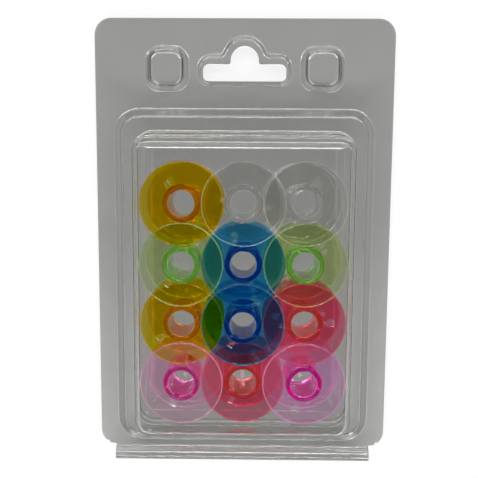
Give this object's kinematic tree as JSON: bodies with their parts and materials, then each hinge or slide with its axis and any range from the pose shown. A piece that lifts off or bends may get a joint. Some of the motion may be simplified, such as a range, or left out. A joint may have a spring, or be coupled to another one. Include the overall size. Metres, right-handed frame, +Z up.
{
  "type": "bobbin box",
  "caption": "Clear hinged hang pack with a box blister, snap studs and a hang slot, filled with transparent coloured sewing bobbins that overlap in two layers.",
  "frame": {"origin": "under the middle of the closed pack, on the surface that it lies on", "axes": "+X across the pack, +Y towards the hang slot, +Z up through the cover"},
  "size_m": [0.0746, 0.114, 0.0156],
  "materials": {
    "clear_sheet": "clear thermoformed sheet, glossy",
    "amber": "transparent moulded plastic, glossy",
    "clear": "transparent moulded plastic, glossy",
    "green": "transparent moulded plastic, glossy",
    "blue": "transparent moulded plastic, glossy",
    "red": "transparent moulded plastic, glossy",
    "pink": "transparent moulded plastic, glossy",
    "magenta": "transparent moulded plastic, glossy"
  },
  "bodies": {
    "back_shell": {"back_shell": "clear_sheet", "living_hinge": "clear_sheet"},
    "front_shell": {"front_shell": "clear_sheet"},
    "bobbin_r1c1": {"bobbin_r1c1": "amber"},
    "bobbin_r1c2": {"bobbin_r1c2": "clear"},
    "bobbin_r1c3": {"bobbin_r1c3": "clear"},
    "bobbin_r2c1": {"bobbin_r2c1": "green"},
    "bobbin_r2c2": {"bobbin_r2c2": "blue"},
    "bobbin_r2c3": {"bobbin_r2c3": "green"},
    "bobbin_r3c1": {"bobbin_r3c1": "amber"},
    "bobbin_r3c2": {"bobbin_r3c2": "blue"},
    "bobbin_r3c3": {"bobbin_r3c3": "red"},
    "bobbin_r4c1": {"bobbin_r4c1": "pink"},
    "bobbin_r4c2": {"bobbin_r4c2": "red"},
    "bobbin_r4c3": {"bobbin_r4c3": "magenta"}
  },
  "joints": [
    {"name": "cover_hinge", "type": "hinge", "parent": "back_shell", "child": "front_shell", "pos_m": [0, -0.0568, 0.00345], "axis": [1, 0, 0], "range_deg": [0, 147]},
    {"name": "bobbin_r1c1_spin", "type": "hinge", "parent": "back_shell", "child": "bobbin_r1c1", "pos_m": [-0.0151, 0.01162, 0.00635], "axis": [0, 0, 1], "continuous": true},
    {"name": "bobbin_r1c2_spin", "type": "hinge", "parent": "back_shell", "child": "bobbin_r1c2", "pos_m": [0, 0.01162, 0.00765], "axis": [0, 0, 1], "continuous": true},
    {"name": "bobbin_r1c3_spin", "type": "hinge", "parent": "back_shell", "child": "bobbin_r1c3", "pos_m": [0.0151, 0.01162, 0.00635], "axis": [0, 0, 1], "continuous": true},
    {"name": "bobbin_r2c1_spin", "type": "hinge", "parent": "back_shell", "child": "bobbin_r2c1", "pos_m": [-0.0151, -0.00313, 0.00765], "axis": [0, 0, 1], "continuous": true},
    {"name": "bobbin_r2c2_spin", "type": "hinge", "parent": "back_shell", "child": "bobbin_r2c2", "pos_m": [0, -0.00313, 0.00635], "axis": [0, 0, 1], "continuous": true},
    {"name": "bobbin_r2c3_spin", "type": "hinge", "parent": "back_shell", "child": "bobbin_r2c3", "pos_m": [0.0151, -0.00313, 0.00765], "axis": [0, 0, 1], "continuous": true},
    {"name": "bobbin_r3c1_spin", "type": "hinge", "parent": "back_shell", "child": "bobbin_r3c1", "pos_m": [-0.0151, -0.01787, 0.00635], "axis": [0, 0, 1], "continuous": true},
    {"name": "bobbin_r3c2_spin", "type": "hinge", "parent": "back_shell", "child": "bobbin_r3c2", "pos_m": [0, -0.01787, 0.00765], "axis": [0, 0, 1], "continuous": true},
    {"name": "bobbin_r3c3_spin", "type": "hinge", "parent": "back_shell", "child": "bobbin_r3c3", "pos_m": [0.0151, -0.01787, 0.00635], "axis": [0, 0, 1], "continuous": true},
    {"name": "bobbin_r4c1_spin", "type": "hinge", "parent": "back_shell", "child": "bobbin_r4c1", "pos_m": [-0.0151, -0.03263, 0.00765], "axis": [0, 0, 1], "continuous": true},
    {"name": "bobbin_r4c2_spin", "type": "hinge", "parent": "back_shell", "child": "bobbin_r4c2", "pos_m": [0, -0.03263, 0.00635], "axis": [0, 0, 1], "continuous": true},
    {"name": "bobbin_r4c3_spin", "type": "hinge", "parent": "back_shell", "child": "bobbin_r4c3", "pos_m": [0.0151, -0.03263, 0.00765], "axis": [0, 0, 1], "continuous": true}
  ]
}
